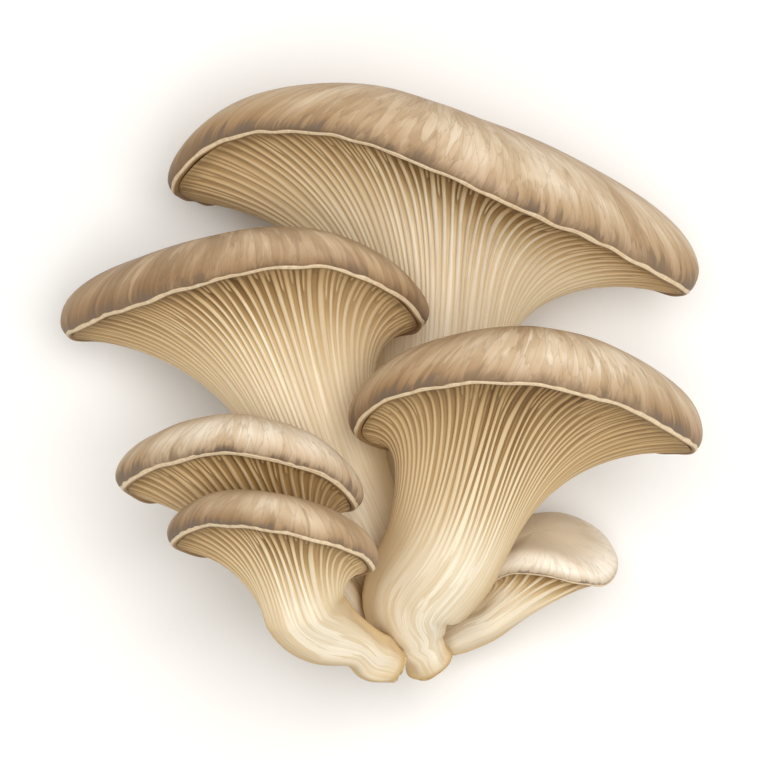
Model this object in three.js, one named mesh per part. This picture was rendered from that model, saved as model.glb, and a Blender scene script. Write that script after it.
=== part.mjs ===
// A cluster of six oyster mushrooms, cut at the foot and lying on its back.
// Millimetres. +X runs to the right, +Y from the foot towards the caps and +Z up from the table.
//
// Each mushroom is two closed bodies: a cap, and a stem whose gills fan out to the cap's rim.
// All of its surfaces come from one rim loop, one stem path and a few heights, as functions of
// t, the way round the rim (0 = left end, 0.25 = upper side, 0.5 = right end, 0.75 = table side).

import * as THREE from 'three';

// ---- the cluster's driving sizes ----

const LIP_WIDTH = 1.2; // pale rolled lip round a cap
const LIP_DROP = 0.35; // the lip's lowest line under the rim
const FLESH_GAP = 0.4; // clear space between a cap and the gilled stem under it
const LIP_GAP = 0.5; // clear space inside the lip
const FLESH_FULLNESS = 2.4; // how square the hidden line between cap and stem is
const OVERHANG_REACH = 2; // height over which a cap's edge swells out
const GILL_DEPTH = 2; // full height of a gill
const GILL_RISE = 0.15; // share of the way to the neck on which a gill reaches its height
const RIM_PITCH_SHARE = 0.55; // near the rim, a gill is never higher than this share of the pitch
const NECK_PITCH_SHARE = 0.3; // and at the neck than this one
const GILL_FADE = 0.4; // share of the stem on which the gills die out
const RIDGE_SHARE = 0.5; // share of a gill's height that stands out of the mean surface
const TABLE = 0; // height of the table
const MIDDLE = [-1.03, -0.85]; // middle of the cluster on the axes of the lists below
const RIM_SAMPLES = 1200; // straight steps by which a rim's length is measured
const NECK_STEP = 0.02; // share of the stem from which the underside takes its direction at the neck
const NORMAL_STEP = 0.01; // step along a gill from which its surface's direction is taken

// Rings of the surfaces, from the rim inwards
const DOME_ANGLES = [5, 13, 27, 45, 66].map(THREE.MathUtils.degToRad);
const FLESH_ANGLES = [12, 40, 68].map(THREE.MathUtils.degToRad);
const GILL_ROWS = [0.07, 0.3, 0.62, 1];
const STEM_ROWS = [0.15, 0.35, 0.52, 0.7, 0.86, 1];
const FOOT_ROUNDING = 0.8; // how far the rounded end passes the last station
const FOOT_FLAT = 0.7; // share of the foot's girth that its flat end has

// rim       loop of points, from the left end over the upper side
// throat    where the underside is deepest, and where the stem's path starts
// stem      stations down to the foot, each its centre, half width and half depth
// crown     middle of the cap, which faces along up
// height    rise of the cap, by lean more at the right end and less at the left
// fullness  how square the cap's arch is, 2 for an ellipse
// overhang  how far the cap's edge swells out past its rim
// flare     share of the way to the throat that the underside takes first, left and right
// sweep     share of the way from throat to neck that it takes last, along the stem
const MUSHROOMS = [
  {
    name: 'top',
    gills: 104,
    rim: [
      [-53, 48.5, 32], [-38.5, 60.5, 52], [-11.5, 60.5, 66], [14.5, 51, 73],
      [34, 42, 70], [55.5, 33.5, 56], [77, 22.5, 36], [67, 24, 15],
      [46, 30.5, 0.5], [17.5, 40, 5], [-13, 44.5, 4.5], [-37, 45, 1.2],
    ],
    throat: [16, 37, 28],
    stem: [
      [14.2, 9, 24, 18.2, 12], [10.8, -15, 17, 12.4, 10], [8.5, -41, 10.8, 9, 8],
      [10.5, -69.5, 4.6, 7, 6.6],
    ],
    crown: [7.5, 47, 37],
    up: [0.14, 0.99, 0],
    height: 22,
    lean: 0.15,
    fullness: 2.6,
    overhang: 2.4,
    fleshHeight: 4.5,
    flare: [0.47, 0.45],
    sweep: 0.55,
  },
  {
    name: 'left',
    gills: 72,
    rim: [
      [-80, 11.5, 28], [-65.5, 17.5, 50], [-47.5, 23, 66], [-29.5, 27, 76],
      [-11.5, 27.5, 78], [3, 21.5, 72], [10, 14.5, 60], [6.5, 12, 48],
      [-7, 9.5, 38], [-31, 8.5, 28], [-51.5, 9, 18], [-69.5, 10, 17],
    ],
    throat: [-20.5, 6.5, 44],
    stem: [[-13, -21, 40, 14, 9.5], [-3, -41, 30, 10, 8], [6.5, -68.5, 18.8, 5.8, 5.5]],
    crown: [-35.5, 17.5, 48],
    up: [-0.06, 1, 0],
    height: 15.8,
    lean: -0.08,
    fullness: 2.9,
    overhang: 2.5,
    fleshHeight: 4,
    flare: [0.55, 0.45],
    sweep: 0.55,
  },
  {
    name: 'right',
    gills: 76,
    rim: [
      [-6.5, -13, 66], [-0.5, -5.5, 78], [14, -1.5, 88], [28.5, -0.5, 93],
      [43, -2, 92], [60.5, -7, 81], [78, -17, 60], [67, -17.5, 45],
      [50, -16.5, 40], [32, -16, 40], [17, -16.5, 46], [1.5, -17, 56],
    ],
    throat: [21.5, -13.5, 65],
    stem: [
      [16, -40, 55, 15.2, 10.5], [7.5, -55, 44.5, 12.8, 8.5], [7.8, -64, 36.5, 7.2, 6.7],
      [11, -68.3, 32.6, 5.6, 6.2], [12, -71.3, 30.8, 6.2, 5.6],
    ],
    crown: [34, -8.5, 66],
    up: [0, 1, 0],
    height: 18.8,
    lean: 0.13,
    fullness: 2.8,
    overhang: 2.2,
    fleshHeight: 4,
    flare: [0.45, 0.5],
    sweep: 0.55,
  },
  {
    name: 'upper_small',
    gills: 48,
    rim: [
      [-64.5, -26.5, 58], [-56, -21.5, 70], [-44.5, -18.5, 78], [-33.5, -18, 82],
      [-22.5, -20.5, 83], [-12.5, -24, 78], [-6.5, -30.5, 69], [-9.5, -32.5, 59],
      [-23, -31, 50], [-35.5, -30.5, 46], [-48, -30, 45], [-59, -30, 49],
    ],
    throat: [-26.5, -34, 61],
    stem: [[-20.5, -45, 52.5, 7.2, 5.2], [-11, -54.3, 40, 5.6, 4.8], [-3.5, -67, 30, 4.4, 4.6]],
    crown: [-35, -24, 65],
    up: [0, 1, 0],
    height: 14.2,
    lean: 0,
    fullness: 2.4,
    overhang: 2.8,
    fleshHeight: 3.5,
    flare: [0.3, 0.25],
    sweep: 0.35,
  },
  {
    name: 'lower_small',
    gills: 44,
    rim: [
      [-51.8, -40.2, 71], [-44.7, -35.7, 83], [-35.1, -35.2, 91], [-24.6, -36.7, 96],
      [-15, -38.7, 97], [-6.5, -41.7, 92], [-2, -45.7, 82], [-6.5, -47.7, 72],
      [-17.5, -46.2, 67.5], [-27.6, -44.2, 66], [-37.7, -43.2, 65], [-46.2, -42.7, 66],
    ],
    throat: [-20.6, -46.7, 81],
    stem: [
      [-18.2, -56, 73, 11, 6], [-13.2, -61.6, 63, 9.6, 6.2], [-6, -66.2, 53.5, 6.8, 5.2],
      [-1.6, -69.4, 47.5, 5.5, 4.4], [3.2, -71.6, 43.5, 4.2, 3.6],
    ],
    crown: [-27.5, -40.2, 81],
    up: [0, 1, 0],
    height: 12.2,
    lean: 0,
    fullness: 2.5,
    overhang: 2,
    fleshHeight: 3,
    flare: [0.65, 0.35],
    sweep: 0.35,
  },
  {
    name: 'side_small',
    gills: 28,
    rim: [
      [19, -54, 26], [26.5, -51.5, 34], [34.5, -48.5, 39.5], [43, -49.5, 42],
      [50, -51, 41], [56, -51.5, 37], [59.5, -48, 30], [57.5, -43, 22],
      [52, -39, 16], [44, -37.5, 14], [34, -39.5, 15], [24, -47, 19],
    ],
    throat: [35, -53, 26],
    stem: [[28, -59.2, 21.5, 4.8, 4.8], [22.5, -62.2, 18, 5, 4.8], [16.8, -66, 15, 4.4, 4.4]],
    crown: [40, -45, 27.5],
    up: [-0.1, 0.8, 0.6],
    height: 9,
    lean: 0,
    fullness: 2.4,
    overhang: 1.3,
    fleshHeight: 2.2,
    flare: [0.3, 0.35],
    sweep: 0.35,
  },
];

const capMaterial = new THREE.MeshStandardMaterial({ color: '#a08a6c', roughness: 0.6, metalness: 0 });
const gillMaterial = new THREE.MeshStandardMaterial({ color: '#e6d3a8', roughness: 0.75, metalness: 0 });

// ---- curves of one mushroom ----

const vector = (xyz) => new THREE.Vector3(xyz[0], xyz[1], xyz[2]);

function makeForm(mushroom) {
  const rim = new THREE.CatmullRomCurve3(mushroom.rim.map(vector), true, 'catmullrom');
  rim.arcLengthDivisions = RIM_SAMPLES;
  const [, , , neckWidth, neckDepth] = mushroom.stem[0];
  const centres = [mushroom.throat, ...mushroom.stem].map(vector);
  const stationGirths = mushroom.stem.map((station) => station.slice(3));
  const girths = [[neckWidth, neckDepth], ...stationGirths].map(([w, d]) => new THREE.Vector3(w, d, 0));
  return {
    ...mushroom,
    rim,
    throat: vector(mushroom.throat),
    crown: vector(mushroom.crown),
    up: vector(mushroom.up).normalize(),
    path: new THREE.CatmullRomCurve3(centres, false, 'catmullrom'),
    girth: new THREE.CatmullRomCurve3(girths, false, 'catmullrom'),
    spans: mushroom.stem.length,
    neckLength: centres[0].distanceTo(centres[1]),
  };
}

// Way round the rim at which each gill and each furrow stands, evenly spaced along its length
function gillPlaces(form) {
  const count = 2 * form.gills;
  return Array.from({ length: count }, (_, i) => form.rim.getUtoTmapping(i / count));
}

const every = (list, step) => list.filter((_, i) => i % step === 0);

// Direction away from the cap's middle at t, square to the cap's own axis
function outward(form, t) {
  const away = form.rim.getPoint(t).sub(form.crown);
  return away.addScaledVector(form.up, -away.dot(form.up)).normalize();
}

const turn = (t) => Math.PI * (1 - 2 * t);

// ---- surfaces ----

// Stem: ellipses along the path, q = 0 at the neck and 1 at the foot
function stemPoint(form, q, t) {
  const s = (1 + q * (form.spans - 1)) / form.spans;
  const girth = form.girth.getPoint(s);
  const upwards = form.path.getTangent(s).negate();
  const side = new THREE.Vector3().crossVectors(upwards, new THREE.Vector3(0, 0, 1)).normalize();
  const front = new THREE.Vector3().crossVectors(side, upwards);
  return form.path.getPoint(s)
    .addScaledVector(side, girth.x * Math.cos(turn(t)))
    .addScaledVector(front, girth.y * Math.sin(turn(t)));
}

// Underside of the cap: each line is a Bezier curve that leaves the rim towards the throat
// and runs down into the neck, v = 0 at the rim and 1 at the neck. Where the neck is near,
// both of its handles are shorter.
function undersidePoint(form, v, t) {
  const edge = form.rim.getPoint(t).addScaledVector(outward(form, t), -LIP_WIDTH - LIP_GAP);
  const neck = stemPoint(form, 0, t);
  const upwards = neck.clone().sub(stemPoint(form, NECK_STEP, t)).normalize();
  const inwards = form.throat.clone().sub(edge);
  const room = edge.distanceTo(neck);
  const flare = THREE.MathUtils.lerp(...form.flare, (1 + Math.cos(turn(t))) / 2);
  const leave = edge.clone().addScaledVector(inwards, flare * Math.min(1, room / inwards.length()));
  const arrive = neck.clone().addScaledVector(upwards, form.sweep * Math.min(form.neckLength, room));
  return new THREE.CubicBezierCurve3(edge, leave, arrive, neck).getPoint(v);
}

// Underside and stem in one, w = 0 at the rim, 1 at the neck and 2 at the foot
function bodyPoint(form, w, t) {
  return w <= 1 ? undersidePoint(form, w, t) : stemPoint(form, w - 1, t);
}

// Ring of ridges and furrows: the body's points moved along its normal, by a share of the
// gill's height at each place. The height rises from the rim, keeps under a share of the pitch
// and fades down the stem. Points are half a pitch apart where ridges and furrows take turns.
function gilledRing(form, w, places, shares, pointsPerGill) {
  const step = w >= 1 ? NORMAL_STEP : -NORMAL_STEP;
  const ring = places.map((t) => bodyPoint(form, w, t));
  const beside = places.map((t) => bodyPoint(form, w - step, t));
  const rise = GILL_DEPTH * THREE.MathUtils.smoothstep(w, 0, GILL_RISE);
  const pitchShare = THREE.MathUtils.lerp(RIM_PITCH_SHARE, NECK_PITCH_SHARE, Math.min(w, 1));
  const fade = 1 - THREE.MathUtils.smoothstep(w, 1, 1 + GILL_FADE);
  return ring.map((point, i) => {
    const round = ring[(i + 1) % ring.length].clone().sub(ring[(i + ring.length - 1) % ring.length]);
    const along = point.clone().sub(beside[i]).multiplyScalar(Math.sign(step));
    const pitch = round.length() * pointsPerGill / 2;
    const height = Math.min(rise, pitchShare * pitch) * fade;
    const normal = along.cross(round).normalize();
    return point.clone().addScaledVector(normal, shares[i % shares.length] * height);
  });
}

// Superellipse from the rim (angle 0) to the top (90 degrees): share of the spread and of the rise
function bow(angle, fullness) {
  const power = 2 / fullness;
  return { spread: Math.cos(angle) ** power, rise: Math.sin(angle) ** power };
}

// Top of the cap
function domePoint(form, angle, t) {
  const { spread, rise } = bow(angle, form.fullness);
  const height = form.height * (1 + form.lean * Math.cos(turn(t)) * spread);
  const swell = form.overhang * (1 - Math.exp(-form.height * rise / OVERHANG_REACH)) * spread;
  return form.crown.clone()
    .lerp(form.rim.getPoint(t), spread)
    .addScaledVector(form.up, height * rise)
    .addScaledVector(outward(form, t), swell);
}

// Hidden surface where cap and stem meet, inset from the rim and lifted along the axis
function fleshPoint(form, angle, t, inset, lift) {
  const { spread, rise } = bow(angle, FLESH_FULLNESS);
  const edge = form.rim.getPoint(t).addScaledVector(outward(form, t), -inset);
  return form.crown.clone()
    .lerp(edge, spread)
    .addScaledVector(form.up, form.fleshHeight * rise + lift);
}

// ---- closed bodies from rings ----

// Joins two rings of equal size, or where one has twice the points of the other
function joinRings(a, b) {
  const triangles = [];
  const n = Math.min(a.length, b.length);
  for (let i = 0; i < n; i += 1) {
    const j = (i + 1) % n;
    if (a.length === b.length) {
      triangles.push([a[i], a[j], b[i]], [a[j], b[j], b[i]]);
    } else if (a.length > b.length) {
      const end = a[(2 * i + 2) % a.length];
      triangles.push([a[2 * i], a[2 * i + 1], b[i]], [a[2 * i + 1], b[j], b[i]], [a[2 * i + 1], end, b[j]]);
    } else {
      const end = b[(2 * i + 2) % b.length];
      triangles.push([a[i], b[2 * i + 1], b[2 * i]], [a[i], a[j], b[2 * i + 1]], [a[j], end, b[2 * i + 1]]);
    }
  }
  return triangles;
}

// A closed surface: a first point, rings, and a last point. Nothing reaches under the table.
function closedBody(name, material, firstPoint, rings, lastPoint) {
  const positions = [];
  const addPoint = (p) => {
    positions.push(p.x - MIDDLE[0], p.y - MIDDLE[1], Math.max(p.z, TABLE));
    return positions.length / 3 - 1;
  };
  const first = addPoint(firstPoint);
  const loops = rings.map((ring) => ring.map(addPoint));
  const last = addPoint(lastPoint);
  const triangles = [];
  loops[0].forEach((p, i) => triangles.push([first, p, loops[0][(i + 1) % loops[0].length]]));
  for (let k = 1; k < loops.length; k += 1) {
    triangles.push(...joinRings(loops[k], loops[k - 1]));
  }
  const end = loops[loops.length - 1];
  end.forEach((p, i) => triangles.push([last, end[(i + 1) % end.length], p]));
  const geometry = new THREE.BufferGeometry();
  geometry.setAttribute('position', new THREE.Float32BufferAttribute(positions, 3));
  geometry.setIndex(triangles.flat());
  geometry.computeVertexNormals();
  const mesh = new THREE.Mesh(geometry, material);
  mesh.name = name;
  return mesh;
}

function makeCap(form) {
  const places = every(gillPlaces(form), 2);
  const half = every(places, 2);
  const quarter = every(places, 4);
  const domeColumns = [places, half, half, half, quarter];
  const fleshColumns = [places, half, quarter];
  const dome = DOME_ANGLES.map((a, i) => domeColumns[i].map((t) => domePoint(form, a, t))).reverse();
  const rim = places.map((t) => form.rim.getPoint(t));
  const lipPoint = (t, inset, drop) => form.rim.getPoint(t)
    .addScaledVector(outward(form, t), -inset)
    .addScaledVector(form.up, -drop);
  const lipLine = places.map((t) => lipPoint(t, LIP_WIDTH / 2, LIP_DROP));
  const lipInside = places.map((t) => lipPoint(t, LIP_WIDTH, 0));
  const flesh = FLESH_ANGLES.map((a, i) => (
    fleshColumns[i].map((t) => fleshPoint(form, a, t, LIP_WIDTH, FLESH_GAP))
  ));
  const top = form.crown.clone().addScaledVector(form.up, form.height);
  const bottom = form.crown.clone().addScaledVector(form.up, form.fleshHeight + FLESH_GAP);
  const rings = [...dome, rim, lipLine, lipInside, ...flesh];
  return closedBody(`${form.name}_cap`, capMaterial, top, rings, bottom);
}

function makeGilledStem(form) {
  const places = gillPlaces(form);
  const ridges = every(places, 2);
  const half = every(places, 4);
  const quarter = every(places, 8);
  const inset = LIP_WIDTH + LIP_GAP;
  const fleshColumns = [ridges, half, quarter];
  const flesh = FLESH_ANGLES.map((a, i) => (
    fleshColumns[i].map((t) => fleshPoint(form, a, t, inset, 0))
  )).reverse();
  const edge = ridges.map((t) => undersidePoint(form, 0, t));
  const gills = GILL_ROWS.map((v) => gilledRing(form, v, places, [RIDGE_SHARE, RIDGE_SHARE - 1], 2));
  const stem = STEM_ROWS.map((q, i) => (
    i === 0
      ? gilledRing(form, 1 + q, ridges, [RIDGE_SHARE], 1)
      : gilledRing(form, 1 + q, half, [RIDGE_SHARE], 0.5)
  ));
  const downwards = form.path.getTangent(1);
  const footCentre = form.path.getPoint(1);
  const footRing = quarter.map((t) => (
    footCentre.clone().lerp(stemPoint(form, 1, t), FOOT_FLAT).addScaledVector(downwards, FOOT_ROUNDING)
  ));
  const top = form.crown.clone().addScaledVector(form.up, form.fleshHeight);
  const bottom = footCentre.clone().addScaledVector(downwards, FOOT_ROUNDING);
  const rings = [...flesh, edge, ...gills, ...stem, footRing];
  return closedBody(`${form.name}_gilled_stem`, gillMaterial, top, rings, bottom);
}

// ---- the cluster ----

const cluster = new THREE.Group();
for (const mushroom of MUSHROOMS) {
  const form = makeForm(mushroom);
  cluster.add(makeCap(form), makeGilledStem(form));
}

export default cluster;
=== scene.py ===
# %% [markdown]
# # A cluster of oyster mushrooms
#
# Oyster mushrooms grow out of a log in a fan: thin stems leave one foot, and each widens into a
# shell-shaped cap. The skin on top is grey-brown and smooth, its edge rolls under into a pale lip,
# and cream gills run from the lip down the stem. This cluster is cut at the foot and lies on its
# back, so the camera looks straight down on it.
#
# Everything here is a surface worked out with numpy. A mushroom is drawn from one loop, its rim,
# one path, its stem, and a few heights. The same curves carry the skin, the gills and their
# colours, so a change to the rim moves all of them together.

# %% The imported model
import math

import bpy
import numpy as np
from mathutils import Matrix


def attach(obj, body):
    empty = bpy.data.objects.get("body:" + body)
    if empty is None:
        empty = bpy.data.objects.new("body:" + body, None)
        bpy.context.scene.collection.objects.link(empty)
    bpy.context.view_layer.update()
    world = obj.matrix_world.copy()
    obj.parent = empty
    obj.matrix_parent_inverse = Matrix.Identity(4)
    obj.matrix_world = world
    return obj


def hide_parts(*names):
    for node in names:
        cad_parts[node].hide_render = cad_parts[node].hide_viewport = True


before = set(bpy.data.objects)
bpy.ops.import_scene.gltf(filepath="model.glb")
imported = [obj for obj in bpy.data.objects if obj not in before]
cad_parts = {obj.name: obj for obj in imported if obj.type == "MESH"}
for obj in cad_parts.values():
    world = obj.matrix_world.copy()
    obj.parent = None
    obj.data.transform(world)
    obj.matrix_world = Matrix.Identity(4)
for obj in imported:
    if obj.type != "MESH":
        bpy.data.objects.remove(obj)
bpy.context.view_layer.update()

# %% [markdown]
# ## Camera, floor and light
#
# A lying object is looked at from above. A long lens far away keeps the far caps from shrinking,
# as a still-life photographer would do it. The frame is 192 mm wide at the middle of the cluster.

# %% Camera
MM = 0.001
FRAME_WIDTH = 192 * MM
SENSOR = 36.0
LENS = 250.0
FOCUS_HEIGHT = 50 * MM
CAMERA_OFFSET = (1.53 * MM, 0.15 * MM)
camera_height = FOCUS_HEIGHT + FRAME_WIDTH * LENS / SENSOR

camera_data = bpy.data.cameras.new("camera")
camera_data.lens = LENS
camera_data.sensor_width = SENSOR
camera_data.sensor_fit = "HORIZONTAL"
camera = bpy.data.objects.new("camera", camera_data)
camera.location = (*CAMERA_OFFSET, camera_height)
bpy.context.scene.collection.objects.link(camera)
bpy.context.scene.camera = camera
print(f"camera {camera_height:.3f} m above the table")

# %% [markdown]
# Colours are picked as hex values, as in any paint program. Those are sRGB, and shaders work on
# linear light, so one function turns one into the other. A second one adds a shader node with its
# settings, values and links, which keeps a material readable as a list of steps.

# %% Colour and node helpers
def linear(hex_colour, alpha=1.0):
    """Linear RGBA of an sRGB hex colour: v / 12.92 in the shadows, ((v + 0.055) / 1.055) ^ 2.4
    above them."""
    srgb = [int(hex_colour[i:i + 2], 16) / 255 for i in (1, 3, 5)]
    return (*[v / 12.92 if v <= 0.04045 else ((v + 0.055) / 1.055) ** 2.4 for v in srgb], alpha)


def add_node(material, kind, inputs=None, stops=None, **settings):
    """Adds a node, sets its properties and input values, links the sockets given as inputs,
    and fills a colour ramp from (place, hex colour) stops."""
    tree = material.node_tree
    node = tree.nodes.new(kind)
    for name, value in settings.items():
        setattr(node, name, value)
    for name, value in (inputs or {}).items():
        if isinstance(value, bpy.types.NodeSocket):
            tree.links.new(value, node.inputs[name])
        else:
            node.inputs[name].default_value = value
    if stops:
        ramp = node.color_ramp
        while len(ramp.elements) < len(stops):
            ramp.elements.new(1.0)
        for element, (place, colour) in zip(ramp.elements, stops):
            element.position = place
            element.color = linear(colour)
    return node


def new_material(name, values):
    """A node material with an output, and its Principled shader with the socket values given."""
    material = bpy.data.materials.new(name)
    material.use_nodes = True
    material.node_tree.nodes.clear()
    shader = add_node(material, "ShaderNodeBsdfPrincipled", values)
    add_node(material, "ShaderNodeOutputMaterial", {"Surface": shader.outputs["BSDF"]})
    return material, shader


print("linear mid grey:", round(linear("#808080")[0], 3))

# %% [markdown]
# The floor is a sheet of matt card. The light is a softbox almost a metre wide beside the camera,
# a little to the right, so it comes nearly from the front: each cap's face is bright, its left end
# turns darker and the gills are shaded right under the lip. A white surround fills the furrows.

# %% Floor and light
FLOOR_SIZE = 4.0
KEY_SIZE = 0.9
KEY_PLACE = (0.22, 0.1, 1.34)
KEY_POWER = 15.8
SURROUND = 0.56

floor_mesh = bpy.data.meshes.new("floor")
half = FLOOR_SIZE / 2
floor_corners = [(-half, -half, 0), (half, -half, 0), (half, half, 0), (-half, half, 0)]
floor_mesh.from_pydata(floor_corners, [], [(0, 1, 2, 3)])
floor = bpy.data.objects.new("floor", floor_mesh)
bpy.context.scene.collection.objects.link(floor)
# Uncoated white card, pressed from paper pulp, so it has no gloss
card = new_material("Matt white card", {"Base Color": linear("#f4f2ee"), "Roughness": 0.9})[0]
floor_mesh.materials.append(card)

key_data = bpy.data.lights.new("key", "AREA")
key_data.size = KEY_SIZE
key_data.energy = KEY_POWER
key = bpy.data.objects.new("key", key_data)
key.location = KEY_PLACE
key_x, key_y, key_z = KEY_PLACE
# An area light shines along its own -Z, so it is tilted and turned until that points at the cluster
key.rotation_euler = (math.acos(key_z / math.hypot(*KEY_PLACE)), 0, math.atan2(key_x, -key_y) + math.pi)
bpy.context.scene.collection.objects.link(key)

world = bpy.data.worlds.new("surround")
world.use_nodes = True
world.node_tree.nodes["Background"].inputs["Strength"].default_value = SURROUND
world.node_tree.nodes["Background"].inputs["Color"].default_value = (1, 1, 1, 1)
bpy.context.scene.world = world
bpy.context.scene.view_settings.view_transform = "Standard"
print("key light", KEY_POWER, "W")

# %% [markdown]
# ## The driving sizes
#
# The rim of each cap is a loop of twelve points in millimetres: it starts at the left end, runs
# over the upper side to the right end, and back along the side towards the table. A stem is a
# list of stations, each a centre with its half width and half depth. `crown` and `up` say where
# the middle of the cap is and which way it faces, and `throat` is where its gills meet.
#
# `height`, `lean`, `fullness` and `overhang` shape the dome, `flesh` is its thickness over the
# gills, and `flare` and `sweep` say how far the underside runs on before it bends into the stem.
# Taking `MIDDLE` off every point puts the middle of the whole box over the origin.

# %% Driving sizes in mm
TABLE_HEIGHT = 0.0
MIDDLE = np.array([-1.03, -0.85, 0])
LIP_WIDTH = 1.2
LIP_GAP = 0.3
FLESH_GAP = 0.4
FLESH_FULLNESS = 2.4
OVERHANG_REACH = 2.0

MUSHROOMS = [
    dict(
        name="top", gills=104,
        rim=[
            [-53, 48.5, 32], [-38.5, 60.5, 52], [-11.5, 60.5, 66], [14.5, 51, 73],
            [34, 42, 70], [55.5, 33.5, 56], [77, 22.5, 36], [67, 24, 15],
            [46, 30.5, 0.5], [17.5, 40, 5], [-13, 44.5, 4.5], [-37, 45, 1.2],
        ],
        throat=[16, 37, 28],
        stem=[
            [14.2, 9, 24, 18.2, 12], [10.8, -15, 17, 12.4, 10], [8.5, -41, 10.8, 9, 8],
            [10.5, -69.5, 4.6, 7, 6.6],
        ],
        crown=[7.5, 47, 37], up=[0.14, 0.99, 0],
        height=22, lean=0.15, fullness=2.6, overhang=2.4, flesh=4.5,
        flare=[0.47, 0.45], sweep=0.55,
    ),
    dict(
        name="left", gills=72,
        rim=[
            [-80, 11.5, 28], [-65.5, 17.5, 50], [-47.5, 23, 66], [-29.5, 27, 76],
            [-11.5, 27.5, 78], [3, 21.5, 72], [10, 14.5, 60], [6.5, 12, 48],
            [-7, 9.5, 38], [-31, 8.5, 28], [-51.5, 9, 18], [-69.5, 10, 17],
        ],
        throat=[-20.5, 6.5, 44],
        stem=[[-13, -21, 40, 14, 9.5], [-3, -41, 30, 10, 8], [6.5, -68.5, 18.8, 5.8, 5.5]],
        crown=[-35.5, 17.5, 48], up=[-0.06, 1, 0],
        height=15.8, lean=-0.08, fullness=2.9, overhang=2.5, flesh=4,
        flare=[0.55, 0.45], sweep=0.55,
    ),
    dict(
        name="right", gills=76,
        rim=[
            [-6.5, -13, 66], [-0.5, -5.5, 78], [14, -1.5, 88], [28.5, -0.5, 93],
            [43, -2, 92], [60.5, -7, 81], [78, -17, 60], [67, -17.5, 45],
            [50, -16.5, 40], [32, -16, 40], [17, -16.5, 46], [1.5, -17, 56],
        ],
        throat=[21.5, -13.5, 65],
        stem=[
            [16, -40, 55, 15.2, 10.5], [7.5, -55, 44.5, 12.8, 8.5], [8.2, -63.6, 37.2, 7.8, 6.8],
            [10.4, -68.2, 33.4, 5.7, 6.2], [12, -71.3, 30.8, 6.4, 5.6],
        ],
        crown=[34, -8.5, 66], up=[0, 1, 0],
        height=18.8, lean=0.13, fullness=2.8, overhang=2.2, flesh=4,
        flare=[0.45, 0.5], sweep=0.55,
    ),
    dict(
        name="upper_small", gills=48,
        rim=[
            [-64.5, -26.5, 58], [-56, -21.5, 70], [-44.5, -18.5, 78], [-33.5, -18, 82],
            [-22.5, -20.5, 83], [-12.5, -24, 78], [-6.5, -30.5, 69], [-9.5, -32.5, 59],
            [-23, -31, 50], [-35.5, -30.5, 46], [-48, -30, 45], [-59, -30, 49],
        ],
        throat=[-26.5, -34, 61],
        stem=[[-20.5, -45, 52.5, 7.2, 5.2], [-11, -54.3, 40, 5.6, 4.8], [-3.5, -67, 30, 4.4, 4.6]],
        crown=[-35, -24, 65], up=[0, 1, 0],
        height=14.2, lean=0, fullness=2.4, overhang=2.8, flesh=3.5,
        flare=[0.3, 0.25], sweep=0.35,
    ),
    dict(
        name="lower_small", gills=44,
        rim=[
            [-51.8, -40.2, 71], [-44.7, -35.7, 83], [-35.1, -35.2, 91], [-24.6, -36.7, 96],
            [-15, -38.7, 97], [-6.5, -41.7, 92], [-2, -45.7, 82], [-6.5, -47.7, 72],
            [-17.5, -46.2, 67.5], [-27.6, -44.2, 66], [-37.7, -43.2, 65], [-46.2, -42.7, 66],
        ],
        throat=[-20.6, -46.7, 81],
        stem=[
            [-19.2, -56, 73, 10, 6], [-14.2, -61.6, 63, 8.8, 6.2], [-6.4, -65.7, 53.5, 5.7, 5.0],
            [-1.8, -69.2, 47.5, 6.2, 4.6], [3.2, -71.6, 43.5, 4.4, 3.6],
        ],
        crown=[-27.5, -40.2, 81], up=[0, 1, 0],
        height=12.2, lean=0, fullness=2.5, overhang=2, flesh=3,
        flare=[0.65, 0.35], sweep=0.35,
    ),
    dict(
        name="side_small", gills=28,
        rim=[
            [19, -54, 26], [26.5, -51.5, 34], [34.5, -48.5, 39.5], [43, -49.5, 42],
            [50, -51, 41], [56, -51.5, 37], [59.5, -48, 30], [57.5, -43, 22],
            [52, -39, 16], [44, -37.5, 14], [34, -39.5, 15], [24, -47, 19],
        ],
        throat=[35, -53.6, 26],
        stem=[[28, -59.9, 21.5, 5.6, 4.8], [22.5, -62.9, 18, 5.6, 4.8], [16.8, -66.2, 15, 4.6, 4.4]],
        crown=[40, -45, 27.5], up=[-0.1, 0.8, 0.6],
        height=9, lean=0, fullness=2.4, overhang=1.3, flesh=2.2,
        flare=[0.3, 0.35], sweep=0.35,
    ),
]

print("mushrooms:", [m["name"] for m in MUSHROOMS])

# %% [markdown]
# ## Curves
#
# A Catmull-Rom curve passes through its points, which makes it easy to steer by hand. It is a
# cubic between each two points, and the direction at a point is half the step from the one before
# to the one after. Gills stand evenly along the rim, so a second function turns an even share of
# the rim's length into the share of the curve's parameter.

# %% Curves
RIM_SAMPLES = 1200
TANGENT_STEP = 1e-4


def curve(points, s, closed=False):
    """Point at share s of a Catmull-Rom curve: between b and c, with a before and d after them,
    the cubic that leaves b along (c - a) / 2 and reaches c along (d - b) / 2."""
    points = np.asarray(points, float)
    count = len(points)
    if closed:
        place = np.mod(s, 1.0) * count
        i = np.floor(place).astype(int)
        a, b, c, d = (points[(i + k) % count] for k in (-1, 0, 1, 2))
    else:
        ends = np.vstack([2 * points[0] - points[1], points, 2 * points[-1] - points[-2]])
        place = np.clip(s, 0, 1) * (count - 1)
        i = np.minimum(np.floor(place).astype(int), count - 2)
        a, b, c, d = (ends[i + k] for k in range(4))
    x = (place - i)[..., None]
    leave = (c - a) / 2
    arrive = (d - b) / 2
    square = 3 * (c - b) - 2 * leave - arrive
    cube = 2 * (b - c) + leave + arrive
    return b + x * (leave + x * (square + x * cube))


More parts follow.
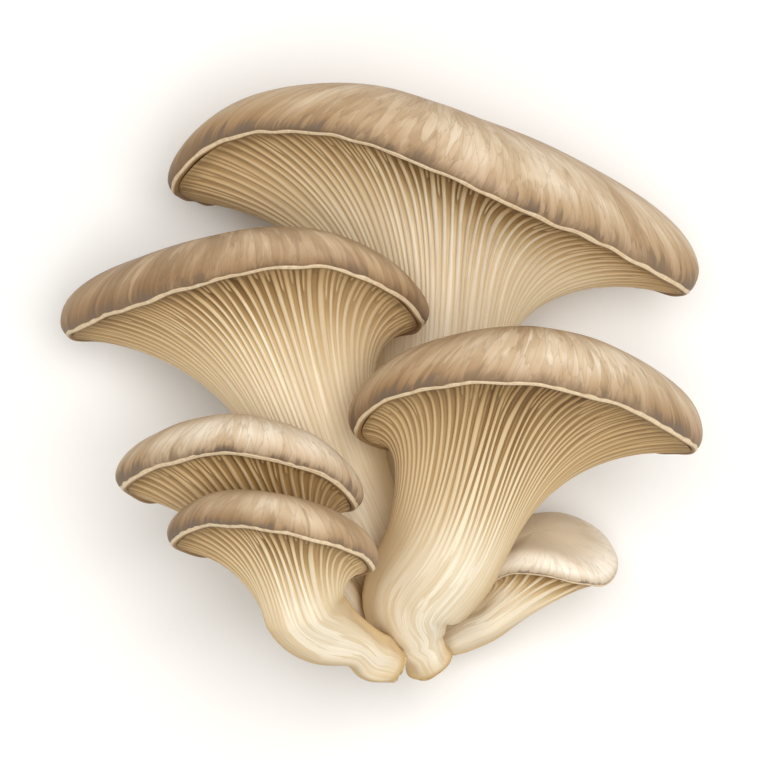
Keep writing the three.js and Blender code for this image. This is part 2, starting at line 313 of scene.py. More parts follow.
def unit(vectors):
    """Vectors scaled to length 1."""
    return vectors / np.linalg.norm(vectors, axis=-1, keepdims=True)


def heading(points, s):
    """Direction of an open curve at share s, from two points a small step apart."""
    before = curve(points, np.maximum(s - TANGENT_STEP, 0))
    after = curve(points, np.minimum(s + TANGENT_STEP, 1))
    return unit(after - before)


def even_places(rim, shares):
    """Curve parameters of the points that lie at even shares of a closed curve's length, and that
    length: the steps between many samples are added up and looked up backwards."""
    samples = np.linspace(0, 1, RIM_SAMPLES + 1)
    steps = np.linalg.norm(np.diff(curve(rim, samples, closed=True), axis=0), axis=1)
    length = np.append(0, np.cumsum(steps))
    return np.interp(shares, length / length[-1], samples), length[-1]


for m in MUSHROOMS:
    m["crown"] = np.array(m["crown"], float)
    m["throat"] = np.array(m["throat"], float)
    m["up"] = unit(np.array(m["up"], float))
    m["path"] = np.array([m["throat"], *[station[:3] for station in m["stem"]]])
    m["girth"] = np.array([m["stem"][0][3:], *[station[3:] for station in m["stem"]]])
    m["length"] = even_places(m["rim"], np.zeros(1))[1]
    print(f"{m['name']}: rim {m['length']:.0f} mm long, {m['length'] / m['gills']:.1f} mm a gill")

# %% [markdown]
# ## The smooth body under the gills
#
# The underside leaves the rim towards the throat, bends down and becomes the stem. A Bezier curve
# does that in one sweep: two of its points are the rim and the neck, and the other two say in
# which direction it leaves and arrives. The stem is an ellipse carried along its path.

# %% Stem and underside
NECK_STEP = 0.02


def rim_point(m, t):
    """Point of the rim at t."""
    return curve(m["rim"], t, closed=True)


def outward(m, t):
    """Direction away from the cap's middle at t, square to its axis: (rim - crown) less its part
    along up."""
    away = rim_point(m, t) - m["crown"]
    return unit(away - (away @ m["up"])[..., None] * m["up"])


def round_angle(t):
    """Angle round an ellipse for a place round the rim: 180 degrees at the left end, 0 at the right
    end, half way round."""
    return np.pi * (1 - 2 * t)


def stem_point(m, q, t):
    """Ellipse round the path: centre + side * width * cos(angle) + front * depth * sin(angle), with
    q = 0 at the neck and 1 at the foot."""
    spans = len(m["stem"])
    s = (1 + q * (spans - 1)) / spans + 0 * t
    girth = curve(m["girth"], s)
    upwards = -heading(m["path"], s)
    side = unit(np.cross(upwards, [0, 0, 1]))
    front = np.cross(side, upwards)
    angle = round_angle(t)
    across = (girth[..., 0] * np.cos(angle))[..., None]
    deep = (girth[..., 1] * np.sin(angle))[..., None]
    return curve(m["path"], s) + across * side + deep * front


def underside_point(m, v, t):
    """Cubic Bezier from the rim, inset past the lip, to the neck: w^3 edge + 3 w^2 v leave +
    3 w v^2 arrive + v^3 neck, with w = 1 - v. Where the neck is near, leave and arrive are too."""
    edge = rim_point(m, t) - (LIP_WIDTH + LIP_GAP) * outward(m, t)
    neck = stem_point(m, 0.0, t)
    upwards = unit(neck - stem_point(m, NECK_STEP, t))
    inwards = m["throat"] - edge
    room = np.linalg.norm(neck - edge, axis=-1)
    flare = m["flare"][0] + (m["flare"][1] - m["flare"][0]) * (1 + np.cos(round_angle(t))) / 2
    leave = edge + (flare * np.minimum(1, room / np.linalg.norm(inwards, axis=-1)))[..., None] * inwards
    neck_length = np.linalg.norm(m["path"][1] - m["path"][0])
    arrive = neck + (m["sweep"] * np.minimum(neck_length, room))[..., None] * upwards
    v = np.asarray(v)[..., None]
    w = 1 - v
    return w ** 3 * edge + 3 * w ** 2 * v * leave + 3 * w * v ** 2 * arrive + v ** 3 * neck


def body_point(m, run, t):
    """Underside and stem in one: run = 0 at the rim, 1 at the neck and 2 at the foot."""
    under = run[:, 0] <= 1
    return np.concatenate([underside_point(m, run[under], t), stem_point(m, run[~under] - 1, t)])


print("neck of the top mushroom, left side:", np.round(stem_point(MUSHROOMS[0], 0.0, np.zeros(1)), 1))

# %% [markdown]
# ## Gills
#
# A gill is a thin blade that hangs from the flesh, and a mushroom lying on its back shows the
# blades' rounded edges as broad ridges with narrow furrows between them. Under the lip some
# furrows hold a short gill that dies out on the way down, because there is room for it only where
# the fan is wide. Down the stem the ridges sink into smooth flesh. All of that is one function of
# the way round and the way down, and the same number then drives the furrows' colour.
#
# Growth is never quite even. Sums of sines with whole numbers of cycles make a wobble that closes
# on itself round the rim, and a seeded draw gives each gill its own width, height and tone.

# %% Gill relief
COLUMNS_PER_GILL = 10
RIDGE_HALF_WIDTH = (0.30, 0.47)
RIDGE_SPREAD = 0.8
RIDGE_SQUARENESS = 2.2
RIDGE_HEIGHTS = (0.72, 1.0)
RIDGE_WIDTHS = (0.82, 1.08)
SHORT_SHARE = 0.5
SHORT_LENGTH = (0.06, 0.34)
SHORT_HALF_WIDTH = 0.17
SHORT_HEIGHT = 0.8
SHORT_TAPER = 0.5
SWAY = 0.17
SWAY_START = 0.3
SWAY_DRIFT = 6.0
SWAY_GILLS = (3, 6)
TINY = 1e-6


def smooth(x, low, high):
    """Smooth step: 0 below low, 1 above high, and 3x^2 - 2x^3 between."""
    x = np.clip((x - low) / (high - low), 0, 1)
    return x * x * (3 - 2 * x)


def ripple(share, along, cycles, drift, seed):
    """Wobble of about -1 to 1: sines of whole numbers of cycles round the rim, each leaning by up to
    drift radians along the run, added up and divided by the root of their number."""
    draw = np.random.default_rng(seed)
    total = 0
    for n in cycles:
        phase = draw.uniform(0, 2 * np.pi)
        lean = draw.uniform(-drift, drift)
        total = total + np.sin(2 * np.pi * n * share + phase + lean * along)
    return total / math.sqrt(len(cycles))


def crest(x):
    """Round-shouldered ridge: 1 - |x|^squareness inside x = 1, 0 outside."""
    return np.clip(1 - np.abs(x) ** RIDGE_SQUARENESS, 0, 1)


def gill_relief(m, share, run, seed):
    """Height between furrow (0) and gill edge (1), and a tone for each gill, at shares of the rim's
    length and places along the run: the higher of a long gill's crest and a short one's, which
    stands half way to the next long one and tapers off at its own length."""
    gills = m["gills"]
    draw = np.random.default_rng(seed)
    lengths = draw.uniform(*SHORT_LENGTH, gills) * (draw.uniform(0, 1, gills) < SHORT_SHARE)
    tones = draw.uniform(0, 1, gills)
    heights = draw.uniform(*RIDGE_HEIGHTS, gills)
    widths = draw.uniform(*RIDGE_WIDTHS, gills)
    sway_cycles = range(gills // SWAY_GILLS[1], gills // SWAY_GILLS[0])
    wobble = ripple(share, run, sway_cycles, SWAY_DRIFT, seed + 1)
    place = gills * share + SWAY * wobble * smooth(run, 0.0, SWAY_START)
    long_one = np.round(place).astype(int)
    short_one = np.floor(place).astype(int)
    narrow, wide = RIDGE_HALF_WIDTH
    half_width = (narrow + (wide - narrow) * smooth(run, 0.0, RIDGE_SPREAD)) * widths[long_one % gills]
    long_gill = heights[long_one % gills] * crest((place - long_one) / half_width)
    reach = lengths[short_one % gills]
    alive = (1 - smooth(run, SHORT_TAPER * reach, reach + TINY)) * (reach > 0)
    short_gill = SHORT_HEIGHT * alive * crest((place - short_one - 0.5) / SHORT_HALF_WIDTH)
    return np.maximum(long_gill, short_gill), tones[long_one % gills]


print("columns round the top mushroom:", MUSHROOMS[0]["gills"] * COLUMNS_PER_GILL)

# %% [markdown]
# The relief is laid on along the surface's own normal, the cross product of the step down the
# body and the step round it. A ridge is never higher than a share of the gap to the next one, so
# where the fan narrows the gills shrink with it and never run into each other. Shallow flutes go
# on down the stem, and the foot closes in a low lumpy dome, as a knife leaves it.
#
# The furrows are deepest in the middle of the fan, and the painted shade in them is darkest there,
# while the stem is palest in its middle and gets painted shade on its sides, so the body also carries
# `middle`, a bell curve over the way round. Other numbers that the colours need ride along in the
# same way: how far down a place is, its relief, its gill's tone, how much of a gill is left there,
# and `ripe`, the run at that mushroom's own pace, which sets how far down the painted shade
# under the lip reaches.

# %% Gilled body
UNDER_ROWS = 46
STEM_ROWS = 30
LIP_CROWDING = 1.2
GILL_DEPTH = 2.2
GILL_RISE = 0.08
PITCH_SHARE = (0.56, 0.15)
GILL_FADE = {"top": (0.6, 1.3), "left": (0.5, 1.2), "right": (0.6, 1.18),
             "upper_small": (0.7, 1.3), "lower_small": (0.5, 1.05), "side_small": (0.3, 0.8)}
SIDE_GILLS = {"top": 0.24, "left": 0.22, "right": 0.4,
              "upper_small": 0.4, "lower_small": 0.4, "side_small": 0.4}
# How far down each fan, in runs, the painted shade under the lip reaches
LIP_SHADE_REACH = {"top": 0.45, "left": 0.6, "right": 1.75,
            "upper_small": 1.0, "lower_small": 0.8, "side_small": 0.6}
MIDDLE_SHARE = 0.27
MIDDLE_WIDTH = 0.15
FLUTE_HEIGHT = 0.4
FLUTE_CYCLES = range(3, 9)
FLUTE_DRIFT = 1.5
FLUTE_START = (0.5, 1.0)
FLUTE_END = (1.8, 2.0)
FLESH_ANGLES = np.radians([85, 68, 50, 30, 12])
FOOT_STEPS = np.radians([20, 40, 60, 80])
FOOT_BULGE = 1.6
FOOT_LUMPS = 0.4
FOOT_CYCLES = range(2, 7)


def normals(points):
    """Unit normals of a grid of points, (step down the rows) x (step round the columns), and the
    length of the step round."""
    down = np.gradient(points, axis=0)
    around = np.roll(points, -1, axis=1) - np.roll(points, 1, axis=1)
    return unit(np.cross(down, around)), np.linalg.norm(around, axis=-1) / 2


def bell(share, centre, width):
    """Bell curve over the way round: e^(-((share - centre) / width)^2)."""
    return np.exp(-((share - centre) / width) ** 2)


def bow(angle, fullness):
    """Superellipse: spread = cos(angle) ^ (2 / fullness), rise = sin(angle) ^ (2 / fullness)."""
    return np.cos(angle) ** (2 / fullness), np.sin(angle) ** (2 / fullness)


def every_ring(columns, *parts):
    """One grid of values from pairs of a value, row or grid and the number of rings it covers."""
    return np.concatenate([np.broadcast_to(value, (rings, columns)) for value, rings in parts])


def flesh_point(m, angle, t, inset, lift):
    """Hidden surface where cap and stem meet: crown to the inset rim by spread, raised along up by
    flesh * rise + lift."""
    spread, rise = bow(angle, FLESH_FULLNESS)
    edge = rim_point(m, t) - inset * outward(m, t)
    raised = (m["flesh"] * rise + lift)[..., None] * m["up"]
    return m["crown"] + spread[..., None] * (edge - m["crown"]) + raised


def gill_height(m, run, share, gap):
    """Full height of the ridges: the gill depth or a share of the pitch, whichever is less, faded
    down the stem and lower at the two ends of the fan."""
    start, end = PITCH_SHARE
    most = (start + (end - start) * np.minimum(run, 1)) * gap * COLUMNS_PER_GILL
    height = np.minimum(GILL_DEPTH * smooth(run, 0, GILL_RISE), most)
    fade = 1 - smooth(run, *GILL_FADE[m["name"]])
    side = SIDE_GILLS[m["name"]]
    return height * fade * (side + (1 - side) * bell(share, MIDDLE_SHARE, MIDDLE_WIDTH))


def gilled_body(m, seed):
    """First point, rings, last point, attribute values and shares of a gilled stem: body point +
    ((relief - 0.5) * height + flutes) * normal, with the hidden flesh before it and the foot after."""
    columns = m["gills"] * COLUMNS_PER_GILL
    share = np.arange(columns)[None, :] / columns
    t = even_places(m["rim"], share)[0]
    under_run = np.linspace(0, 1, UNDER_ROWS) ** LIP_CROWDING
    run = np.concatenate([under_run, 1 + np.linspace(0, 1, STEM_ROWS + 1)[1:]])[:, None]
    body = body_point(m, run, t)
    normal, gap = normals(body)
    relief, tone = gill_relief(m, share, run, seed)
    flutes = (FLUTE_HEIGHT * ripple(share, run, FLUTE_CYCLES, FLUTE_DRIFT, seed + 2)
              * smooth(run, *FLUTE_START) * (1 - smooth(run, *FLUTE_END)))
    body = body + ((relief - 0.5) * gill_height(m, run, share, gap) + flutes)[..., None] * normal
    flesh = flesh_point(m, FLESH_ANGLES[:, None], t, LIP_WIDTH + LIP_GAP, 0)
    downwards = heading(m["path"], np.array(1.0))
    foot = m["path"][-1]
    steps = FOOT_STEPS[:, None]
    lumps = FOOT_LUMPS * ripple(share, 0, FOOT_CYCLES, 0, seed + 3) * np.sin(2 * steps)
    closing = (foot + np.cos(steps)[..., None] * (body[-1] - foot)
               + (FOOT_BULGE * np.sin(steps) + lumps)[..., None] * downwards)
    hidden, shown, ended = len(flesh), len(body), len(closing)
    fade = 1 - smooth(run, *GILL_FADE[m["name"]])
    middle = bell(share, MIDDLE_SHARE, MIDDLE_WIDTH)
    runs = every_ring(columns, (0, hidden), (run, shown), (2, ended))
    values = {
        "run": runs,
        "relief": every_ring(columns, (0, hidden), (relief, shown), (1, ended)),
        "tone": every_ring(columns, (0, hidden), (tone, shown), (0, ended)),
        "middle": every_ring(columns, (0, hidden), (middle, shown + ended)),
        "fade": every_ring(columns, (1, hidden), (fade, shown), (0, ended)),
        "ripe": runs / LIP_SHADE_REACH[m["name"]],
    }
    top = m["crown"] + m["flesh"] * m["up"]
    bottom = foot + FOOT_BULGE * downwards
    rings = np.concatenate([flesh, body, closing])
    return top, rings, bottom, values, every_ring(columns, (share, len(rings)))


print("rows down a gilled stem:", len(FLESH_ANGLES) + UNDER_ROWS + STEM_ROWS + len(FOOT_STEPS))

# %% [markdown]
# ## Cap and lip
#
# The skin is a low dome. From the rim it swells out, because the edge of a young cap is rolled
# under, and then it bows over to the middle. The lip is a narrow pale bead along the lower edge: a
# half round under the rim, and a slight bulge with a groove above it on the outside. The edge
# grew unevenly, so lip and rim wave up and down together.
#
# The skin's fibres lean towards the middle of the cap. `share` is skewed by the height to carry
# that, because every streak in the skin's colour is drawn along a line of constant `share`. Near
# the middle all those lines meet, so `calm` fades the streaks there before they form a star.
# `front` is 1 in the middle of the upper side and sinks towards the ends and the back, where the
# skin gets painted shade. Each cap has a `paleness` of its own: partly its own tone, and partly a
# painted lift of light on caps that lie in shade.

# %% Cap surface
CAP_COLUMNS_PER_MM = 1.3
EDGE_HEIGHTS = np.array([0.1, 0.2, 0.32, 0.45, 0.6, 0.75, 0.9, 1.1, 1.3, 1.6, 2.0, 2.5])
DOME_ROWS = 40
BEAD_ANGLES = np.radians([150, 120, 90, 60, 30])
LIP_HEIGHT = 0.42
LIP_WAVE = 0.1
LIP_CYCLES = range(7, 60, 6)
LIP_BULGE = 0.18
LIP_ROUND = 0.35
LIP_BLEND = 0.08
GROOVE_DEPTH = 0.2
GROOVE_RISE = 0.12
GROOVE_WIDTH = 0.2
# Angles of the lip's half round where painted shadow under the lip sets in
LIP_SHADOW_ANGLES = np.radians([30, 80])
EDGE_WAVE = 0.24
EDGE_WAVE_LENGTH = 10
EDGE_WAVE_REACH = 4.0
SKIN_WOBBLE = 0.001
SKIN_CYCLES = range(2, 12)
SKIN_DRIFT = 3.0
SKIN_WOBBLE_START = (1.5, 6)
FIBRE_LEAN = 0.9
FIBRE_TURN = 0.07
CALM_MIDDLE = (5, 17)
CALM_CAP = {"side_small": 0.75}
EASED_CROWN = {"side_small": 0.8}
FRONT_SHARE = 0.33
FRONT_WIDTH = 0.2
# Partly each cap's own tone, partly a painted lift of light on caps that lie in shade
PALENESS = {"top": 0.11, "left": -0.07, "right": 0.08,
            "upper_small": 0.28, "lower_small": 0.04, "side_small": 0.52}


def dome_point(m, angle, t):
    """Crown to the rim by spread, raised by height * rise, and swollen outwards near the edge by
    overhang * (1 - e^(-height / reach)) * spread. A rim that waves along up would leave a fold at
    the crown, so there its wave is eased away."""
    spread, rise = bow(angle, m["fullness"])
    height = m["height"] * (1 + m["lean"] * np.cos(round_angle(t)) * spread) * rise
    swell = m["overhang"] * (1 - np.exp(-m["height"] * rise / OVERHANG_REACH)) * spread
    away = rim_point(m, t) - m["crown"]
    wave = (away @ m["up"]) * (1 - smooth(spread, -TINY, EASED_CROWN.get(m["name"], 0)))
    lift = (height - spread * wave)[..., None] * m["up"]
    return m["crown"] + spread[..., None] * away + lift + swell[..., None] * outward(m, t)


def lip_profile(above, lip_top):
    """How far the skin stands out near the rim: a bead, sin(pi * above / lip top), and over it a
    groove, a narrow bell curve."""
    bead = LIP_BULGE * np.sin(np.pi * np.clip(above / lip_top, 0, 1))
    return bead - GROOVE_DEPTH * bell(above, lip_top + GROOVE_RISE, GROOVE_WIDTH)


def cap_surface(m, seed):
    """First point, rings, last point, attribute values and shares of a cap: the hidden flesh, then
    the half round of the lip, (1 - cos) inwards and sin downwards, then the dome."""
    columns = int(m["length"] * CAP_COLUMNS_PER_MM) // 2 * 2
    share = np.arange(columns)[None, :] / columns
    t = even_places(m["rim"], share)[0]
    edge_angles = np.arcsin((EDGE_HEIGHTS / m["height"]) ** (m["fullness"] / 2))
    dome_angles = np.linspace(edge_angles[-1], np.pi / 2, DOME_ROWS + 1)[1:-1]
    angle = np.concatenate([[0.0], edge_angles, dome_angles])[:, None]
    spread, rise = bow(angle, m["fullness"])
    above = m["height"] * rise
    lip_top = LIP_HEIGHT + LIP_WAVE * ripple(share, 0, LIP_CYCLES, 0, seed)
    edge_cycles = range(3, int(m["length"] / EDGE_WAVE_LENGTH))
    edge_wave = EDGE_WAVE * ripple(share, 0, edge_cycles, 0, seed + 2)[..., None] * m["up"]
    dome = (dome_point(m, angle, t) + lip_profile(above, lip_top)[..., None] * outward(m, t)
            + np.exp(-above / EDGE_WAVE_REACH)[..., None] * edge_wave)
    outwards = -normals(dome)[0]
    wobble = (SKIN_WOBBLE * m["length"] * ripple(share, angle, SKIN_CYCLES, SKIN_DRIFT, seed + 1)
              * smooth(above, *SKIN_WOBBLE_START) * np.cos(angle) ** 2)
    dome = dome + wobble[..., None] * outwards
    under = BEAD_ANGLES[:, None]
    round_lip = (rim_point(m, t) - (LIP_WIDTH / 2 * (1 - np.cos(under)))[..., None] * outward(m, t)
                 - (LIP_ROUND * np.sin(under))[..., None] * m["up"] + edge_wave)
    flesh = flesh_point(m, FLESH_ANGLES[:, None], t, LIP_WIDTH, FLESH_GAP)
    rings = np.concatenate([flesh, round_lip, dome])
    hidden, shown = len(flesh) + len(round_lip), len(dome)
    from_crown = spread * np.linalg.norm(rim_point(m, t) - m["crown"], axis=-1)
    calm = CALM_CAP.get(m["name"], 1.0) * smooth(from_crown, *CALM_MIDDLE)
    calms = every_ring(columns, (0, hidden), (calm, shown))
    lip = 1 - smooth(above - lip_top, -LIP_BLEND, LIP_BLEND)
    # Painted shadow under the lip: brown over the inner half round and the hidden flesh
    inner = smooth(under, *LIP_SHADOW_ANGLES)
    values = {
        "inner": every_ring(columns, (1, len(flesh)), (inner, len(round_lip)), (0, shown)),
        "reach": every_ring(columns, (0, hidden), (rise, shown)),
        "calm": calms,
        "front": 1 - calms * (1 - bell(share, FRONT_SHARE, FRONT_WIDTH)),
        "lip": every_ring(columns, (1, hidden), (lip, shown)),
        "paleness": every_ring(columns, (PALENESS[m["name"]], len(rings))),
    }
    bottom = m["crown"] + (m["flesh"] + FLESH_GAP) * m["up"]
    top = m["crown"] + m["height"] * m["up"]
    climbed = every_ring(columns, (0, hidden), (above, shown))
    lean = FIBRE_LEAN * np.cos(2 * np.pi * (share - FIBRE_TURN)) / m["length"]
    return bottom, rings, top, values, share - climbed * lean


print("rows over a cap:", len(FLESH_ANGLES) + len(BEAD_ANGLES) + 1 + len(EDGE_HEIGHTS) + DOME_ROWS - 1)

# %% [markdown]
# ## From rings to a mesh
#
# Both surfaces are rings between two poles, so one function builds them. The faces are index
# arithmetic on whole arrays: a quad joins four neighbours, and the last column joins the first.
# A gilled stem's rings run down its outside and a cap's climb it, so a cap's faces are wound the
# other way to look outward too. The volume that is printed is positive when they do: it is the
# sum of a . (b x c) + a . (c x d) over the quads, divided by 6, and the small poles are left out.
#
# Each point also keeps `grain`, its place in millimetres round and down the piece. The way round
# is bent into a circle, so a pattern on it closes without a seam. `start` moves each piece to a
# stretch of the pattern of its own.

# %% Mesh builder
def ring_faces(rows, columns, climbing):
    """Quads between the rings and a fan of triangles at each pole, as rows of point numbers: pole 0,
    then the rings one after another, then the other pole."""
    index = 1 + np.arange(rows * columns).reshape(rows, columns)
    after = np.roll(index, -1, axis=1)
    quads = np.stack([index[:-1], index[1:], after[1:], after[:-1]], axis=-1).reshape(-1, 4)
    first_fan = np.stack([np.zeros(columns, int), index[0], after[0]], axis=-1)
    last_fan = np.stack([np.full(columns, rows * columns + 1), after[-1], index[-1]], axis=-1)
    fans = np.concatenate([first_fan, last_fan])
    return (quads[:, ::-1], fans[:, ::-1]) if climbing else (quads, fans)


def grain_places(rings, share, length, start):
    """Place of each point in mm: cos and sin of the way round times length / (2 pi), and the length
    of the steps down the rings. A pole takes the mean of its ring."""
    steps = np.linalg.norm(np.diff(rings, axis=0), axis=-1)
    along = np.concatenate([np.zeros((1, rings.shape[1])), steps]).cumsum(axis=0)
    radius = length / (2 * np.pi)
    angle = 2 * np.pi * share
    grain = np.stack([radius * np.cos(angle), radius * np.sin(angle), along + start], axis=-1)
    return np.vstack([grain[0].mean(axis=0), grain.reshape(-1, 3), grain[-1].mean(axis=0)])


def closed_mesh(name, first, rings, last, values, share, length, start, climbing):
    """Mesh object of a ring grid with a pole at each end, in metres, with its point attributes. What
    would sink into the table is laid flat on it."""
    points = np.vstack([first, rings.reshape(-1, 3), last]) - MIDDLE
    points[:, 2] = np.maximum(points[:, 2], TABLE_HEIGHT)
    quads, fans = ring_faces(*rings.shape[:2], climbing)
    corners = np.concatenate([quads.ravel(), fans.ravel()])
    starts = np.concatenate([np.arange(len(quads)) * 4, len(quads) * 4 + np.arange(len(fans)) * 3])
    mesh = bpy.data.meshes.new(name)
    mesh.vertices.add(len(points))
    mesh.vertices.foreach_set("co", (points * MM).ravel())
    mesh.loops.add(len(corners))
    mesh.loops.foreach_set("vertex_index", corners)
    mesh.polygons.add(len(starts))
    mesh.polygons.foreach_set("loop_start", starts)
    mesh.update(calc_edges=True)
    mesh.shade_smooth()
    grain = mesh.attributes.new("grain", "FLOAT_VECTOR", "POINT")
    grain.data.foreach_set("vector", grain_places(rings, share, length, start).ravel())
    for key, value in values.items():
        flat = np.concatenate([value[0, :1], value.ravel(), value[-1, :1]])
        mesh.attributes.new(key, "FLOAT", "POINT").data.foreach_set("value", flat)
    piece = bpy.data.objects.new(name, mesh)
    bpy.context.scene.collection.objects.link(piece)
    a, b, c, d = (points[quads[:, k]] for k in range(4))
    volume = (a * (np.cross(b, c) + np.cross(c, d))).sum() / 6
    print(f"{name}: {2 * len(quads) + len(fans)} triangles, about {volume / 1000:.1f} cm3")
    return piece


# %% [markdown]
# ## Skin
#
# The skin of an oyster mushroom is a thin, slightly greasy layer of fibres that run from the
# middle to the edge. Its pigment lies in small flat scales pressed on each other like brush
# strokes, each with a tone of its own and a thin darker edge.
#
# The scales are the cells of a Voronoi texture: every place takes the tone of the nearest of many
# scattered points. Stretched along the fibres, and with fine noise added to the way down, the
# cells get long sides and frayed ends. A second, smaller set lies over the first.
#
# Each size is a width across the fibres and a length along them, in millimetres. A single thread is
# a hundredth of a millimetre thick and would never show, so a streak here is a bundle of them.

# %% Skin patterns
BROAD = (16.0, 16.0)
STREAK = (0.9, 7.0)
SCALE = (2.6, 8.5)
SMALL_SCALE = (1.2, 4.6)
FRAY = 1.1


def cells_per_mm(width, length):
    """Cells to the mm across the fibres, which is x and y of `grain`, and along them, which is z."""
    return (1 / width, 1 / width, 1 / length)


# The cap's outermost layer of thin threads, grown in one with the flesh: moist, so a little glossy,
# and it lets light into the flesh, which comes out redder about a millimetre on
skin, skin_shader = new_material("Oyster mushroom skin", {
    "Roughness": 0.55, "IOR": 1.42, "Subsurface Weight": 0.1,
    "Subsurface Radius": (1.0, 0.6, 0.35), "Subsurface Scale": 1.5 * MM})
grain = add_node(skin, "ShaderNodeAttribute", attribute_name="grain").outputs["Vector"]
reach, lip, inner, calm, front, paleness = (
    add_node(skin, "ShaderNodeAttribute", attribute_name=name).outputs["Fac"]
    for name in ("reach", "lip", "inner", "calm", "front", "paleness"))
broad_place, streak_place, scale_place, small_place = (
    add_node(skin, "ShaderNodeMapping", {"Vector": grain, "Scale": cells_per_mm(*size)}).outputs[0]
    for size in (BROAD, STREAK, SCALE, SMALL_SCALE))
broad = add_node(skin, "ShaderNodeTexNoise",
                 {"Vector": broad_place, "Scale": 1.0, "Detail": 2.0}).outputs["Fac"]
streak = add_node(skin, "ShaderNodeTexNoise", {"Vector": streak_place, "Scale": 1.0,
                                               "Detail": 3.0, "Roughness": 0.6}).outputs["Fac"]
fray_length = add_node(skin, "ShaderNodeMath", {0: streak, 1: FRAY}, operation="MULTIPLY").outputs[0]
fray = add_node(skin, "ShaderNodeCombineXYZ", {"Z": fray_length}).outputs[0]
scale_frayed, small_frayed = (
    add_node(skin, "ShaderNodeVectorMath", {0: place, 1: fray}).outputs[0]
    for place in (scale_place, small_place))
scale, small = (
    add_node(skin, "ShaderNodeTexVoronoi", {"Vector": place, "Scale": 1.0}).outputs["Color"]
    for place in (scale_frayed, small_frayed))
scale_edge = add_node(skin, "ShaderNodeTexVoronoi", {"Vector": scale_frayed, "Scale": 1.0},
                      feature="DISTANCE_TO_EDGE").outputs["Distance"]
print("pigment scales, width and length in mm:", SCALE, SMALL_SCALE)

# %% [markdown]
# The scales pick a tint, which two more colours multiply. One follows the way up: it is darker
# just above the lip, lighter half way up as a painted highlight, and darker towards the crown as
# painted shade. The other follows the way round and is painted shade on the cap's ends and back,
# away from its front. Where the scales would all meet in a star, an even tone takes their place.

# %% Skin colour
SMALL_SHARE = 0.4
SCALES_SHARE = 0.36
EVEN_TONE = 0.5

scales = add_node(skin, "ShaderNodeMix", {"Factor": SMALL_SHARE, "A": scale, "B": small},
                  data_type="RGBA").outputs["Result"]
scale_tone = add_node(skin, "ShaderNodeRGBToBW", {"Color": scales}).outputs[0]
calm_tone = add_node(skin, "ShaderNodeMix", {"Factor": calm, "A": EVEN_TONE, "B": scale_tone},
                     data_type="FLOAT").outputs["Result"]
pigment = add_node(skin, "ShaderNodeMix", {"Factor": SCALES_SHARE, "A": broad, "B": calm_tone},
                   data_type="FLOAT").outputs["Result"]
# Paleness: partly the cap's own tone, partly painted light lifting caps in shade
pigment_here = add_node(skin, "ShaderNodeMath", {0: pigment, 1: paleness}).outputs[0]
tint = add_node(skin, "ShaderNodeValToRGB", {"Fac": pigment_here},
                [(0.3, "#a18563"), (0.42, "#b39775"), (0.5, "#bfa584"), (0.6, "#ccb494"),
                 (0.75, "#dac7ad"), (1.0, "#f3ead9")]).outputs["Color"]
# Painted light along the way up: darker above the lip, a painted highlight half way, painted shade at the
# crown
painted_light_band = add_node(skin, "ShaderNodeValToRGB", {"Fac": reach},
                [(0.0, "#bfae9b"), (0.2, "#e6dccf"), (0.4, "#ffffff"), (0.62, "#ffffff"),
                 (0.85, "#e8dfd3"), (1.0, "#dcd0c0")]).outputs["Color"]
banded = add_node(skin, "ShaderNodeMix", {"Factor": 1.0, "A": tint, "B": painted_light_band},
                  data_type="RGBA", blend_type="MULTIPLY").outputs["Result"]
# Painted shade on the cap's ends and back, away from its front
ends = add_node(skin, "ShaderNodeMix", {"Factor": front, "A": linear("#dccdb8"), "B": linear("#ffffff")},
                data_type="RGBA").outputs["Result"]
painted_light_tint = add_node(skin, "ShaderNodeMix", {"Factor": 1.0, "A": banded, "B": ends},
                  data_type="RGBA", blend_type="MULTIPLY").outputs["Result"]
print("skin nodes so far:", len(skin.node_tree.nodes))

# %% [markdown]
# Above the lip the skin holds water and turns dark in smudges. Their height is the share of the way
# up, torn by the scales and the streaks, and it is cut near the rim. The lip has no pigment, only a
# warm tint in its streaks, and inside it, under the lip, painted shadow turns it the brown of the
# furrows' painted shade.

# %% Damp skin, lip and gloss
TORN_BY_SCALES = 0.3
TORN_BY_STREAKS = 0.25
LOWER_IN_FRONT = 0.08
STREAK_RELIEF = 0.1 * MM

torn = add_node(skin, "ShaderNodeMath", {0: scale_tone, 1: TORN_BY_SCALES, 2: reach},
                operation="MULTIPLY_ADD").outputs[0]
torn_finely = add_node(skin, "ShaderNodeMath", {0: streak, 1: TORN_BY_STREAKS, 2: torn},
                       operation="MULTIPLY_ADD").outputs[0]
torn_in_front = add_node(skin, "ShaderNodeMath", {0: front, 1: LOWER_IN_FRONT, 2: torn_finely},
                         operation="MULTIPLY_ADD").outputs[0]
damp_height = add_node(skin, "ShaderNodeMapRange",
                       {"Value": torn_in_front, "From Min": 0.34, "From Max": 0.5,
                        "To Min": 1.0, "To Max": 0.0},
                       interpolation_type="SMOOTHSTEP").outputs["Result"]
damp_patch = add_node(skin, "ShaderNodeMapRange",
                      {"Value": broad, "From Min": 0.36, "From Max": 0.62,
                       "To Min": 1.0, "To Max": 0.45},
                      interpolation_type="SMOOTHSTEP").outputs["Result"]
damp = add_node(skin, "ShaderNodeMath", {0: damp_height, 1: damp_patch}, operation="MULTIPLY").outputs[0]
damped = add_node(skin, "ShaderNodeMix", {"Factor": damp, "A": painted_light_tint, "B": linear("#736250")},
                  data_type="RGBA").outputs["Result"]
edge_share = add_node(skin, "ShaderNodeMapRange",
                      {"Value": scale_edge, "From Min": 0.0, "From Max": 0.07,
                       "To Min": 0.3, "To Max": 0.0}).outputs["Result"]
